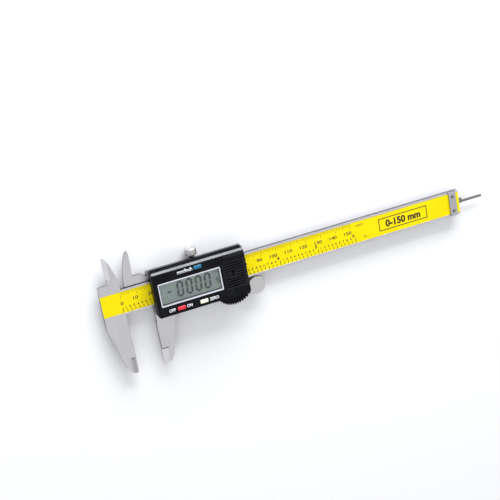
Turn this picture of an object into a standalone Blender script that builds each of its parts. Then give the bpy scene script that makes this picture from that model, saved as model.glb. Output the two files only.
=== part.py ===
"""Digital caliper, 0 to 150 mm, built as separate pieces in metres with +Z out of its face.

The row frame starts at the middle of the fixed jaw's outside measuring face. The drawing below is in
millimetres from the beam: X from that measuring face along the beam, Y from the beam's centre line towards
the inside jaws, Z from the beam's front face. Slider pieces use X from the slider's own measuring face.
"""

import math

import bmesh
import bpy
from mathutils import Matrix, Vector

MM = 0.001

# Driving dimensions, in millimetres
OPENING = 16.7
BEAM_LEFT = -13.7
BEAM_RIGHT = 224.2
BEAM_HALF_WIDTH = 8.0
BEAM_THICKNESS = 3.0
JAW_TIP_Y = -47.2
JAW_FACE_TOP_Y = -18.9
JAW_RELIEF = 0.4
FACET_Y = (-50.0, -36.6)
FACET_REACH = 3.4
FRONT_FACET = 1.8
BACK_FACET = 0.4
INNER_EDGE_X = -7.7
INNER_TIP_Y = 29.8
INNER_SPLIT_Z = -1.5
SLIDE_GAP = 0.25
FACE_CENTRE = (0.0, -33.0, -BEAM_THICKNESS / 2)

LABEL_HALF_HEIGHT = 6.75
LABEL_POCKET_DEPTH = 0.85
END_PLATE_X = (217.2, 222.0)
END_SCREW_Y = 4.7
GROOVE_Y = (-2.1, 1.9)
GROOVE_DEPTH = 1.5

FRAME_X = (0.6, 61.0)
FRAME_Y = (-13.8, 13.4)
FRAME_Z = (-5.0, 0.2)
GIB_THICKNESS = 1.1
BACK_PLATE_THICKNESS = 0.9

COVER_X = (0.9, 59.8)
COVER_Y = (-14.2, 14.8)
COVER_Z = (0.4, 8.0)
COVER_WALL = 1.3
TOP_CHAMFER = 1.2
GRIP_CENTRE = (49.3, -8.6)
GRIP_RADIUS = 11.4
GRIP_SLOPE = ((-14.0, 8.0), (-20.0, 5.5))
GRIP_PITCH = 1.55
GRIP_WIDTH = 0.75
GRIP_DEPTH = 1.0
CEILING_Z = 6.9
WINDOW_X = (3.45, 43.2)
WINDOW_Y = (-7.65, 7.4)
WINDOW_RING = 0.65

BUTTON_SIZE = (5.2, 2.5)
BUTTON_TOP_Z = 8.5
BUTTONS = {"power": (15.3, -11.0), "zero": (29.7, -11.0), "unit": (29.7, 11.3)}
BOSS_POINTS = ((6.5, 11.5), (40.0, 11.5), (6.5, -11.6), (40.0, -11.6))
PLATE_SCREW_POINTS = ((14.0, 11.2), (54.0, 11.2), (21.0, -11.2), (54.0, -11.2))

CELL_CENTRE = (51.0, -0.3)
CELL_RADIUS = 5.8
BATTERY_DOOR_X = (44.6, 59.6)
BATTERY_DOOR_Y = (-9.1, 8.9)
RIB_COUNT = 11
PORT_DOOR_X = (46.3, 59.4)

LOCK_X = 29.9
LOCK_Z = -2.0
LOCK_HEAD_RADIUS = 3.5
SET_SCREW_X = (20.0, 47.0)
ROLLER_CENTRE = (65.7, -13.7)
ROLLER_RADIUS = 5.5
ROLLER_Z = (-1.5, 1.8)

MATERIALS = {
    "steel": ((0.66, 0.66, 0.65), 0.32, 1.0),
    "dark_steel": ((0.2, 0.2, 0.2), 0.4, 1.0),
    "brass": ((0.78, 0.57, 0.25), 0.35, 1.0),
    "black_plastic": ((0.018, 0.018, 0.02), 0.42, 0.0),
    "label_yellow": ((0.93, 0.8, 0.01), 0.45, 0.0),
    "board_green": ((0.03, 0.2, 0.07), 0.5, 0.0),
    "display_grey": ((0.36, 0.42, 0.38), 0.2, 0.0),
    "lens_clear": ((0.85, 0.88, 0.88), 0.05, 0.0),
    "frame_silver": ((0.75, 0.76, 0.8), 0.3, 1.0),
    "rubber_grey": ((0.3, 0.3, 0.32), 0.8, 0.0),
    "button_red": ((0.85, 0.06, 0.08), 0.4, 0.0),
    "button_cream": ((0.88, 0.84, 0.55), 0.4, 0.0),
    "button_blue": ((0.02, 0.32, 0.52), 0.4, 0.0),
}


# ---- scene, materials and parents ----


def clear_scene():
    for item in list(bpy.data.objects):
        bpy.data.objects.remove(item, do_unlink=True)


def new_collection(name):
    collection = bpy.data.collections.new(name)
    bpy.context.scene.collection.children.link(collection)
    return collection


def make_material(name):
    colour, roughness, metallic = MATERIALS[name]
    material = bpy.data.materials.new(name)
    material.use_nodes = True
    shader = material.node_tree.nodes["Principled BSDF"]
    shader.inputs["Base Color"].default_value = (*colour, 1.0)
    shader.inputs["Roughness"].default_value = roughness
    shader.inputs["Metallic"].default_value = metallic
    material.diffuse_color = (*colour, 1.0)
    return material


def empty(name, place, parent=None):
    """An empty at a joint, placed in millimetres from its parent."""
    item = bpy.data.objects.new(name, None)
    item.location = Vector(place) * MM
    item.parent = parent
    PARTS.objects.link(item)
    return item


# ---- shapes ----


def mesh_object(name, mesh, parent, place=(0, 0, 0)):
    item = bpy.data.objects.new(name, mesh)
    item.location = Vector(place) * MM
    item.parent = parent
    PARTS.objects.link(item)
    return item


def box(name, parent, x, y, z):
    """A box between the pairs x, y and z, with its origin at its middle."""
    size = Vector((x[1] - x[0], y[1] - y[0], z[1] - z[0])) * MM
    middle = (sum(x) / 2, sum(y) / 2, sum(z) / 2)
    mesh = bpy.data.meshes.new(name)
    shape = bmesh.new()
    bmesh.ops.create_cube(shape, size=1.0, matrix=Matrix.Diagonal((*size, 1.0)))
    shape.to_mesh(mesh)
    shape.free()
    return mesh_object(name, mesh, parent, middle)


def cone(name, parent, start, end, radii, sides=32):
    """A cylinder or cone frustum from start to end, with its origin halfway along."""
    start = Vector(start)
    end = Vector(end)
    mesh = bpy.data.meshes.new(name)
    shape = bmesh.new()
    turn = (end - start).to_track_quat("Z", "Y").to_matrix().to_4x4()
    bmesh.ops.create_cone(
        shape, cap_ends=True, segments=sides, radius1=radii[0] * MM, radius2=radii[1] * MM,
        depth=(end - start).length * MM, matrix=turn,
    )
    shape.to_mesh(mesh)
    shape.free()
    mesh.shade_smooth()
    mesh.set_sharp_from_angle(angle=math.radians(40))
    return mesh_object(name, mesh, parent, (start + end) / 2)


def cylinder(name, parent, start, end, radius, sides=32):
    return cone(name, parent, start, end, (radius, radius), sides)


def plate(name, parent, outline, z):
    """A flat plate with the given outline between the two heights in z."""
    curve = bpy.data.curves.new(name, "CURVE")
    curve.dimensions = "2D"
    curve.fill_mode = "BOTH"
    curve.extrude = (z[1] - z[0]) / 2 * MM
    line = curve.splines.new("POLY")
    line.points.add(len(outline) - 1)
    for point, (x, y) in zip(line.points, outline):
        point.co = (x * MM, y * MM, 0.0, 1.0)
    line.use_cyclic_u = True
    drawing = bpy.data.objects.new(name + "_outline", curve)
    PARTS.objects.link(drawing)
    bpy.context.view_layer.update()
    mesh = bpy.data.meshes.new_from_object(drawing.evaluated_get(bpy.context.evaluated_depsgraph_get()))
    bpy.data.objects.remove(drawing, do_unlink=True)
    shape = bmesh.new()
    shape.from_mesh(mesh)
    bmesh.ops.remove_doubles(shape, verts=shape.verts, dist=0.001 * MM)
    bmesh.ops.dissolve_limit(shape, angle_limit=math.radians(0.5), verts=shape.verts, edges=shape.edges)
    bmesh.ops.recalc_face_normals(shape, faces=shape.faces)
    shape.to_mesh(mesh)
    shape.free()
    mesh.name = name
    return mesh_object(name, mesh, parent, (0, 0, sum(z) / 2))


def arc(centre, radius, start, end, steps):
    """Points on a circle from one angle to another, in degrees."""
    points = []
    for step in range(steps + 1):
        angle = math.radians(start + (end - start) * step / steps)
        points.append((centre[0] + radius * math.cos(angle), centre[1] + radius * math.sin(angle)))
    return points


def rounded_box(name, parent, x, y, z, radius, steps=4):
    """A box with its four upright edges rounded."""
    outline = []
    outline += arc((x[1] - radius, y[1] - radius), radius, 0, 90, steps)
    outline += arc((x[0] + radius, y[1] - radius), radius, 90, 180, steps)
    outline += arc((x[0] + radius, y[0] + radius), radius, 180, 270, steps)
    outline += arc((x[1] - radius, y[0] + radius), radius, 270, 360, steps)
    return plate(name, parent, outline, z)


# ---- joining and cutting ----


def combine(item, other, operation):
    """Cut other from item, or join it on, with an exact Boolean modifier."""
    PARTS.objects.unlink(other)
    CUTTERS.objects.link(other)
    other.hide_render = True
    other.display_type = "WIRE"
    modifier = item.modifiers.new(other.name, "BOOLEAN")
    modifier.operation = operation
    modifier.solver = "EXACT"
    modifier.object = other


def cut(item, *others):
    for other in others:
        combine(item, other, "DIFFERENCE")


def join(item, *others):
    for other in others:
        combine(item, other, "UNION")


def chamfer(item, width):
    """Break the sharp edges of a piece."""
    modifier = item.modifiers.new("edges", "BEVEL")
    modifier.width = width * MM
    modifier.segments = 1
    modifier.limit_method = "ANGLE"
    modifier.angle_limit = math.radians(50)


def paint(item, name):
    item.data.materials.clear()
    item.data.materials.append(LOOKS[name])
    return item


# ---- the beam and what is fixed to it ----


def beam_outline():
    half = BEAM_HALF_WIDTH
    head_top = 13.0
    corner = 1.0
    end = arc((BEAM_RIGHT - corner, corner - half), corner, -90, 0, 3)
    end += arc((BEAM_RIGHT - corner, half - corner), corner, 0, 90, 3)
    return end + [
        (-0.4, half),
        (-0.5, 11.5),
        (-1.0, 15.5),
        (-2.2, 19.8),
        (-3.9, 25.2),
        (-5.0, 27.6),
        (-6.2, 29.1),
        (INNER_EDGE_X, INNER_TIP_Y),
        (INNER_EDGE_X, head_top),
        (BEAM_LEFT, head_top - 0.2),
        (BEAM_LEFT, -14.2),
        (-8.6, -34.6),
        (-6.7, -41.5),
        (-5.0, -44.6),
        (-2.4, -46.6),
        (0.0, JAW_TIP_Y),
        (0.0, JAW_FACE_TOP_Y),
        (-JAW_RELIEF, JAW_FACE_TOP_Y + JAW_RELIEF),
        (-JAW_RELIEF, -half),
    ]


def knife_facet(name, parent, edge, reach, y, depth, side):
    """A wedge that thins a jaw towards the edge at x = edge, over the length y.

    The cut starts at edge + reach and is depth deep at the edge. It is on the front for side 1 and on the
    back for side -1.
    """
    top = 0.0 if side > 0 else -BEAM_THICKNESS
    wedge = box(name, parent, (-12.0, 12.0), y, (0.0, 6.0) if side > 0 else (-6.0, 0.0))
    wedge.data.transform(Matrix.Translation((0.0, 0.0, 3.0 * side * MM)))
    wedge.location = Vector((edge + reach, sum(y) / 2, top)) * MM
    wedge.rotation_euler.y = side * math.copysign(math.atan2(depth, abs(reach)), -reach)
    return wedge


def make_main_beam():
    beam = plate("main_beam", ROOT, beam_outline(), (-BEAM_THICKNESS, 0.0))
    cut(
        beam,
        box(
            "cut_inner_back",
            ROOT,
            (BEAM_LEFT - 1, 0.0),
            (BEAM_HALF_WIDTH + 0.1, 31.0),
            (-4.0, INNER_SPLIT_Z + 0.05),
        ),
        box(
            "cut_label_pocket",
            ROOT,
            (BEAM_LEFT - 1, BEAM_RIGHT + 1),
            (-LABEL_HALF_HEIGHT - 0.05, LABEL_HALF_HEIGHT + 0.05),
            (-LABEL_POCKET_DEPTH, 1.0),
        ),
        box("cut_rod_groove", ROOT, (0.0, BEAM_RIGHT + 1), GROOVE_Y, (-4.0, -BEAM_THICKNESS + GROOVE_DEPTH)),
        knife_facet("cut_fixed_front", ROOT, 0.0, -FACET_REACH, FACET_Y, FRONT_FACET, 1),
        knife_facet("cut_fixed_back", ROOT, 0.0, -FACET_REACH, FACET_Y, BACK_FACET, -1),
        knife_facet("cut_inner_front", ROOT, INNER_EDGE_X, 2.6, (16.0, 31.0), 0.8, 1),
    )
    for end, y in (("upper", END_SCREW_Y), ("lower", -END_SCREW_Y)):
        x = sum(END_PLATE_X) / 2
        cut(beam, cylinder("cut_end_screw_" + end, ROOT, (x, y, -2.4), (x, y, 1.0), 0.75, 20))
    return paint(beam, "steel")


def make_scale():
    x = (BEAM_LEFT + 0.1, BEAM_RIGHT - 0.1)
    strip = box("scale_strip", ROOT, x, (-LABEL_HALF_HEIGHT, LABEL_HALF_HEIGHT), (-0.8, -0.3))
    label = box("scale_label", ROOT, x, (-LABEL_HALF_HEIGHT, LABEL_HALF_HEIGHT), (-0.25, -0.05))
    for end, y in (("upper", END_SCREW_Y), ("lower", -END_SCREW_Y)):
        middle = sum(END_PLATE_X) / 2
        cut(strip, cylinder("cut_strip_" + end, ROOT, (middle, y, -2.0), (middle, y, 1.0), 1.0, 20))
        cut(label, cylinder("cut_label_" + end, ROOT, (middle, y, -2.0), (middle, y, 1.0), 1.0, 20))
    paint(strip, "board_green")
    paint(label, "label_yellow")


def make_end_stop():
    stop = box("end_stop_plate", ROOT, END_PLATE_X, (-7.9, 7.9), (0.05, 0.95))
    x = sum(END_PLATE_X) / 2
    for end, y in (("upper", END_SCREW_Y), ("lower", -END_SCREW_Y)):
        cut(stop, cylinder("cut_stop_" + end, ROOT, (x, y, -1.0), (x, y, 2.0), 1.0, 24))
        screw = cylinder("end_stop_screw_" + end, ROOT, (x, y, -2.3), (x, y, 0.5), 0.6, 20)
        join(screw, cylinder("head_" + screw.name, ROOT, (x, y, 0.3), (x, y, 1.05), 0.9, 24))
        cut(screw, box("slot_" + screw.name, ROOT, (x - 2, x + 2), (y - 0.15, y + 0.15), (0.75, 2.0)))
        paint(screw, "dark_steel")
    paint(stop, "steel")


# ---- the slider: steel frame, gib, rod and back ----


def outer_jaw_outline():
    return [
        (0.0, JAW_FACE_TOP_Y),
        (0.0, JAW_TIP_Y),
        (1.6, JAW_TIP_Y + 0.1),
        (4.4, JAW_TIP_Y + 1.9),
        (6.9, -41.4),
        (9.9, -28.3),
        (12.3, -17.5),
        (12.3, -9.2),
        (JAW_RELIEF, -9.2),
        (JAW_RELIEF, JAW_FACE_TOP_Y + JAW_RELIEF),
    ]


def inner_jaw_outline():
    base = BEAM_HALF_WIDTH + SLIDE_GAP
    return [
        (-14.0, base),
        (-13.8, 13.8),
        (-12.7, 20.2),
        (-11.1, 26.0),
        (-10.0, 28.4),
        (INNER_EDGE_X - 0.6, INNER_TIP_Y),
        (INNER_EDGE_X, INNER_TIP_Y - 1.4),
        (INNER_EDGE_X, 19.6),
        (INNER_EDGE_X - 0.5, 17.6),
        (INNER_EDGE_X - 0.5, 13.8),
        (-3.4, 13.7),
        (-1.7, 13.0),
        (-0.3, 11.8),
        (0.4, 11.2),
        (4.0, 11.2),
        (4.0, 10.0),
        (0.5, 10.0),
        (0.5, base),
    ]


def arm_outline():
    x, y = ROLLER_CENTRE
    return [(56.0, -14.6), (56.0, -9.0), (x - 4.2, -9.0)] + arc((x, y), 4.2, 90, -90, 12)


def make_slider_frame():
    frame = box("slider_frame", SLIDER, FRAME_X, FRAME_Y, FRAME_Z)
    gib_top = BEAM_HALF_WIDTH + SLIDE_GAP + GIB_THICKNESS + SLIDE_GAP
    cut(
        frame,
        box(
            "cut_channel",
            SLIDER,
            (-2.0, 63.0),
            (-BEAM_HALF_WIDTH - SLIDE_GAP, gib_top),
            (-BEAM_THICKNESS - 0.2, 1.0),
        ),
    )
    inner_z = (-BEAM_THICKNESS + 0.02, INNER_SPLIT_Z - 0.05)
    inner = plate("join_inner_jaw", SLIDER, inner_jaw_outline(), inner_z)
    join(
        frame,
        plate("join_outer_jaw", SLIDER, outer_jaw_outline(), (-BEAM_THICKNESS, 0.0)),
        inner,
        plate("join_arm", SLIDER, arm_outline(), (FRAME_Z[0] + 0.02, -2.0)),
        cylinder("join_lock_boss", SLIDER, (LOCK_X, 12.5, LOCK_Z), (LOCK_X, 14.7, LOCK_Z), 2.15, 24),
    )
    for x, y in BOSS_POINTS:
        mark = f"{x:.0f}_{y:.0f}"
        cut(frame, cylinder("cut_module_hole_" + mark, SLIDER, (x, y, -6.0), (x, y, 1.0), 1.15, 20))
        cut(frame, cylinder("cut_module_bore_" + mark, SLIDER, (x, y, -6.0), (x, y, -3.6), 1.75, 20))
    for x, y in PLATE_SCREW_POINTS:
        mark = f"{x:.0f}_{y:.0f}"
        cut(frame, cylinder("cut_plate_hole_" + mark, SLIDER, (x, y, -6.0), (x, y, -2.6), 0.8, 16))
    for x in (*SET_SCREW_X, LOCK_X):
        cut(frame, cylinder(f"cut_side_hole_{x:.0f}", SLIDER, (x, 8.6, LOCK_Z), (x, 16.0, LOCK_Z), 1.1, 20))
    x, y = ROLLER_CENTRE
    cut(
        frame,
        cylinder("cut_axle_hole", SLIDER, (x, y, -6.0), (x, y, 0.0), 1.15, 20),
        cylinder("cut_axle_seat", SLIDER, (x, y, -6.0), (x, y, -4.2), 1.95, 24),
        cylinder("cut_roller_space", SLIDER, (x, y, ROLLER_Z[0] - 0.4), (x, y, 1.0), ROLLER_RADIUS + 0.5, 48),
        box("cut_rod_seat", SLIDER, (1.8, 8.4), (GROOVE_Y[0], GROOVE_Y[1]), (-6.0, -2.0)),
        knife_facet("cut_slider_front", SLIDER, 0.0, FACET_REACH, FACET_Y, FRONT_FACET, 1),
        knife_facet("cut_slider_back", SLIDER, 0.0, FACET_REACH, FACET_Y, BACK_FACET, -1),
    )
    return paint(frame, "steel")


def make_gib():
    low = BEAM_HALF_WIDTH + SLIDE_GAP
    gib = box("gib_strip", SLIDER, (3.0, 58.0), (low, low + GIB_THICKNESS), (-2.9, -0.2))
    paint(gib, "brass")
    for side, x in zip(("left", "right"), SET_SCREW_X):
        start = (x, low + GIB_THICKNESS + 0.3, LOCK_Z)
        screw = cylinder("gib_set_screw_" + side, SLIDER, start, (x, 13.0, LOCK_Z), 0.95, 20)
        slot_z = (LOCK_Z - 0.2, LOCK_Z + 0.2)
        cut(screw, box("slot_" + screw.name, SLIDER, (x - 2, x + 2), (12.5, 14.0), slot_z))
        paint(screw, "dark_steel")


def make_depth_rod():
    """A flat rod in the groove behind the beam, with a narrow tip and a head held by the slider."""
    tip_start = BEAM_RIGHT - 14.0
    rod = box("depth_rod", SLIDER, (2.6, tip_start), (-1.8, 1.4), (-2.9, -1.75))
    join(
        rod,
        box("join_rod_tip", SLIDER, (tip_start - 1.0, BEAM_RIGHT), (-1.6, -0.1), (-2.8, -1.85)),
        box("join_rod_head", SLIDER, (2.1, 8.1), (-1.85, 1.45), (-4.9, -2.1)),
    )
    paint(rod, "dark_steel")


def make_back_plate():
    top = FRAME_Z[0] - 0.1
    bottom = top - BACK_PLATE_THICKNESS
    back = rounded_box("back_plate", SLIDER, (1.0, 60.6), (-14.6, 13.0), (bottom, top), 1.5)
    for index, (x, y) in enumerate(PLATE_SCREW_POINTS, 1):
        sink = cone(f"cut_plate_{index}", SLIDER, (x, y, bottom - 0.1), (x, y, top + 0.1), (1.75, 1.05), 24)
        cut(back, sink)
        screw = cone(f"back_plate_screw_{index}", SLIDER, (x, y, bottom + 0.05), (x, y, top), (1.5, 0.9), 24)
        join(screw, cylinder(f"shank_{index}", SLIDER, (x, y, top - 0.2), (x, y, -2.9), 0.65, 16))
        slot_y, slot_z = (y - 0.18, y + 0.18), (bottom - 1, bottom + 0.4)
        cut(screw, box(f"slot_plate_{index}", SLIDER, (x - 2, x + 2), slot_y, slot_z))
        paint(screw, "dark_steel")
    paint(back, "steel")


def make_module_screws():
    for index, (x, y) in enumerate(BOSS_POINTS, 1):
        screw = cylinder(f"module_screw_{index}", SLIDER, (x, y, -4.9), (x, y, -3.8), 1.6, 20)
        join(screw, cylinder(f"shaft_{index}", SLIDER, (x, y, -4.0), (x, y, 4.2), 0.75, 16))
        paint(screw, "dark_steel")


# ---- the electronics module ----


def cover_outline():
    """The module's outline, with the round thumb grip bulging below its right end."""
    left, right = COVER_X
    low, high = COVER_Y
    depth = low - GRIP_CENTRE[1]
    start = 180 + math.degrees(math.asin(-depth / GRIP_RADIUS))
    end = 360 - math.degrees(math.acos((right - GRIP_CENTRE[0]) / GRIP_RADIUS))
    outline = [(right, high - 0.8), (right - 0.8, high), (left + 0.8, high), (left, high - 0.8)]
    outline += [(left, low + 0.8), (left + 0.8, low)]
    return outline + arc(GRIP_CENTRE, GRIP_RADIUS, start, end, 14)


def joined_prisms(name, parent, profiles, width):
    """Separate prisms in one mesh, each a (Y, Z) profile with straight sides about its own X."""
    shape = bmesh.new()
    for x, profile in profiles:
        sides = []
        for end in (x - width / 2, x + width / 2):
            sides.append([shape.verts.new((end * MM, y * MM, z * MM)) for y, z in profile])
        for side in sides:
            shape.faces.new(side)
        for index in range(len(profile)):
            after = (index + 1) % len(profile)
            shape.faces.new((sides[0][index], sides[0][after], sides[1][after], sides[1][index]))
    bmesh.ops.recalc_face_normals(shape, faces=shape.faces)
    mesh = bpy.data.meshes.new(name)
    shape.to_mesh(mesh)
    shape.free()
    return mesh_object(name, mesh, parent)


def cut_thumb_grip(cover):
    """Slope the round lobe down towards its rim, then groove it along Y so that the rim is toothed."""
    (start_y, start_z), (end_y, end_z) = GRIP_SLOPE
    fall = (start_z - end_z) / (start_y - end_y)
    far_y = end_y - 2.0
    wedge = [(start_y, start_z), (start_y, start_z + 1.0), (far_y, start_z + 1.0)]
    wedge.append((far_y, start_z - fall * (start_y - far_y)))
    middle = (COVER_X[0] + COVER_X[1]) / 2
    cut(cover, joined_prisms("cut_grip_slope", SLIDER, [(middle, wedge)], COVER_X[1] - COVER_X[0] + 2.0))
    profiles = []
    half_count = int(GRIP_RADIUS / GRIP_PITCH)
    for index in range(-half_count, half_count):
        x = GRIP_CENTRE[0] + (index + 0.5) * GRIP_PITCH
        rim_y = GRIP_CENTRE[1] - math.sqrt(GRIP_RADIUS**2 - (x - GRIP_CENTRE[0]) ** 2)
        back_y = rim_y + GRIP_DEPTH
        if x > COVER_X[1] or back_y > start_y - 0.8:
            continue
        floor_z = start_z - fall * (start_y - back_y) - GRIP_DEPTH
        groove = [(start_y - 0.1, start_z), (back_y, floor_z), (back_y, -1.0), (far_y, -1.0)]
        profiles.append((x, groove + [(far_y, start_z + 0.5), (start_y - 0.1, start_z + 0.5)]))
    cut(cover, joined_prisms("cut_grip_grooves", SLIDER, profiles, GRIP_WIDTH))


def make_cover():
    """A thin plastic shell, open below, with four screw bosses under its corners."""
    cover = plate("cover_shell", SLIDER, cover_outline(), COVER_Z)
    chamfer(cover, 0.5)
    cut_thumb_grip(cover)
    edge = box("cut_top_chamfer", SLIDER, (-1.0, 61.0), (-3.0, 3.0), (0.0, 6.0))
    edge.location.y = (COVER_Y[1] - TOP_CHAMFER / 2) * MM
    edge.location.z = (COVER_Z[1] - TOP_CHAMFER / 2) * MM
    edge.data.transform(Matrix.Translation((0.0, 0.0, 3.0 * MM)))
    edge.rotation_euler.x = math.radians(-45)
    cut(cover, edge)
    inside_x = (COVER_X[0] + COVER_WALL, COVER_X[1] - COVER_WALL)
    inside_y = (COVER_Y[0] + COVER_WALL, COVER_Y[1] - COVER_WALL)
    inside = rounded_box("cut_hollow", SLIDER, inside_x, inside_y, (-1.0, CEILING_Z), 0.8, 2)
    cut(cover, inside)
    cut(cover, rounded_box("cut_window", SLIDER, WINDOW_X, WINDOW_Y, (5.0, 10.0), 0.5, 3))
    for name, (x, y) in BUTTONS.items():
        half_x = BUTTON_SIZE[0] / 2
        half_y = BUTTON_SIZE[1] / 2
        hole_x, hole_y = (x - half_x, x + half_x), (y - half_y, y + half_y)
        cut(cover, box("cut_button_" + name, SLIDER, hole_x, hole_y, (5.0, 10.0)))
    for x, y in BOSS_POINTS:
        mark = f"{x:.0f}_{y:.0f}"
        join(cover, cylinder("join_boss_" + mark, SLIDER, (x, y, 2.6), (x, y, CEILING_Z + 0.4), 1.6, 16))
        cut(cover, cylinder("cut_boss_" + mark, SLIDER, (x, y, 1.0), (x, y, 4.6), 0.85, 16))
    deck = box("join_deck", SLIDER, (43.6, COVER_X[1] - 0.8), (-13.2, 14.0), (5.2, CEILING_Z + 0.3))
    join(cover, deck)
    door_x = (BATTERY_DOOR_X[0] - 0.2, COVER_X[1] + 1.0)
    door_y = BATTERY_DOOR_Y
    port_x = (PORT_DOOR_X[0] - 0.2, COVER_X[1] + 1.0)
    cut(
        cover,
        box("cut_door_top", SLIDER, door_x, (door_y[0] - 0.2, door_y[1] + 0.2), (6.4, 9.0)),
        box("cut_door_groove", SLIDER, door_x, (door_y[0] - 0.9, door_y[1] + 0.9), (6.4, 7.2)),
        cylinder("cut_cell_bay", SLIDER, (*CELL_CENTRE, -1.0), (*CELL_CENTRE, 7.0), CELL_RADIUS + 0.3, 40),
        box("cut_port_notch", SLIDER, port_x, (10.9, 16.0), (4.4, 9.0)),
        box("cut_port_groove", SLIDER, port_x, (10.5, 11.5), (5.6, 6.15)),
        box("cut_port_window", SLIDER, (49.0, 56.0), (11.2, 12.8), (3.0, 9.0)),
    )
    paint(cover, "black_plastic")


def make_window():
    gap = 0.1
    x = (WINDOW_X[0] + gap, WINDOW_X[1] - gap)
    y = (WINDOW_Y[0] + gap, WINDOW_Y[1] - gap)
    ring = rounded_box("window_frame", SLIDER, x, y, (7.0, 8.2), 0.5, 3)
    inner_x = (x[0] + WINDOW_RING, x[1] - WINDOW_RING)
    inner_y = (y[0] + WINDOW_RING, y[1] - WINDOW_RING)
    cut(ring, box("cut_ring", SLIDER, inner_x, inner_y, (6.0, 9.0)))
    lens_x, lens_y = (inner_x[0] + gap, inner_x[1] - gap), (inner_y[0] + gap, inner_y[1] - gap)
    lens = box("window_lens", SLIDER, lens_x, lens_y, (7.0, 7.7))
    panel = box("lcd_panel", SLIDER, (3.0, 43.4), (-8.2, 7.9), (4.7, 6.6))
    for side, middle in (("upper", 6.6), ("lower", -6.9)):
        strip = box("zebra_strip_" + side, SLIDER, (5.0, 41.0), (middle - 0.7, middle + 0.7), (2.4, 4.6))
        paint(strip, "rubber_grey")
    paint(ring, "frame_silver")
    paint(lens, "lens_clear")
    paint(panel, "display_grey")


def make_board():
    """The plastic base under the module and the circuit board that reads the scale."""
    base = box("module_base", SLIDER, (2.6, 57.2), (-12.5, 13.4), (0.4, 1.2))
    board = box("circuit_board", SLIDER, (2.8, 44.0), (-12.3, 13.2), (1.4, 2.2))
    for x, y in BOSS_POINTS:
        mark = f"{x:.0f}_{y:.0f}"
        cut(base, cylinder("cut_base_" + mark, SLIDER, (x, y, 0.0), (x, y, 3.0), 1.0, 16))
        cut(board, cylinder("cut_board_" + mark, SLIDER, (x, y, 0.0), (x, y, 3.0), 1.0, 16))
    chip = box("controller_chip", SLIDER, (18.0, 27.0), (-4.0, 4.0), (2.35, 3.6))
    for name, (x, y) in BUTTONS.items():
        dome = cone("dome_" + name, SLIDER, (x, y, 2.35), (x, y, 2.8), (1.7, 0.9), 20)
        paint(dome, "brass")
    paint(base, "black_plastic")
    paint(board, "board_green")
    paint(chip, "black_plastic")


def make_battery():
    cell = cylinder("battery_cell", SLIDER, (*CELL_CENTRE, 1.7), (*CELL_CENTRE, 6.3), CELL_RADIUS, 40)
    cap = cylinder("join_cell_cap", SLIDER, (*CELL_CENTRE, 1.4), (*CELL_CENTRE, 2.0), CELL_RADIUS - 1.0, 40)
    join(cell, cap)
    below = box("battery_contact_negative", SLIDER, (47.0, 55.0), (-1.5, 1.5), (1.25, 1.35))
    beside = box("battery_contact_positive", SLIDER, (44.6, 44.8), (-2.5, 2.5), (1.4, 5.0))
    board = box("port_contact_board", SLIDER, (49.2, 55.8), (11.3, 12.5), (1.4, 3.9))
    paint(cell, "steel")
    paint(below, "brass")
    paint(beside, "brass")
    paint(board, "board_green")


# ---- pieces that move on the slider ----


def make_button(name, look):
    """A key cap with a flange under the cover and a stem above its dome."""
    x, y = BUTTONS[name]
    joint = empty(name + "_button_joint", (x, y, BUTTON_TOP_Z), SLIDER)
    half_x = BUTTON_SIZE[0] / 2 - 0.12
    half_y = BUTTON_SIZE[1] / 2 - 0.12
    cap = box(name + "_button", joint, (-half_x, half_x), (-half_y, half_y), (-2.3, 0.0))
    chamfer(cap, 0.25)
    flange_x, flange_y = (-half_x - 0.5, half_x + 0.5), (-half_y - 0.22, half_y + 0.22)
    join(
        cap,
        box("join_flange_" + name, joint, flange_x, flange_y, (-2.6, -1.8)),
        cylinder("join_stem_" + name, joint, (0, 0, -5.1), (0, 0, -2.4), 0.8, 16),
    )
    paint(cap, look)


def make_battery_door():
    """The ribbed cover over the cell, which slides off to the right."""
    joint = empty("battery_door_joint", (BATTERY_DOOR_X[0], 0, 6.6), SLIDER)
    length = BATTERY_DOOR_X[1] - BATTERY_DOOR_X[0]
    door = box("battery_cover", joint, (0, length), BATTERY_DOOR_Y, (0.3, 1.4))
    tongue_y = (BATTERY_DOOR_Y[0] - 0.7, BATTERY_DOOR_Y[1] + 0.7)
    tongue = box("join_tongue", joint, (0, length), tongue_y, (0.0, 0.4))
    join(door, tongue)
    pitch = (BATTERY_DOOR_Y[1] - BATTERY_DOOR_Y[0]) / RIB_COUNT
    for index in range(RIB_COUNT - 1):
        y = BATTERY_DOOR_Y[0] + pitch * (index + 1)
        cut(door, box(f"cut_rib_{index}", joint, (1.2, length - 2.0), (y - 0.35, y + 0.35), (1.0, 2.0)))
    paint(door, "black_plastic")


def make_port_door():
    """The small door over the data contacts, which slides to the right."""
    joint = empty("port_door_joint", (PORT_DOOR_X[0], 13.1, 6.3), SLIDER)
    length = PORT_DOOR_X[1] - PORT_DOOR_X[0]
    top = COVER_Z[1] - 6.3
    side = COVER_Y[1] - 13.1
    profile = [(-2.0, -1.7), (side, -1.7), (side, top - TOP_CHAMFER), (side - TOP_CHAMFER, top), (-2.0, top)]
    door = plate("port_cover", joint, profile, (0, length))
    door.data.transform(Matrix(((0, 0, 1, 0), (1, 0, 0, 0), (0, 1, 0, 0), (0, 0, 0, 1))))
    door.location = (length / 2 * MM, 0, 0)
    join(door, box("join_port_tongue", joint, (0.4, length - 0.4), (-2.45, -1.5), (-0.6, -0.25)))
    groove = [(side - 0.35, -2.0), (side + 0.5, -2.0), (side + 0.5, 0.9), (side - 0.35, 0.3)]
    places = [(length / 2 + (index - 3) * GRIP_PITCH, groove) for index in range(7)]
    cut(door, joined_prisms("cut_port_grip", joint, places, GRIP_WIDTH))
    paint(door, "black_plastic")


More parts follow.
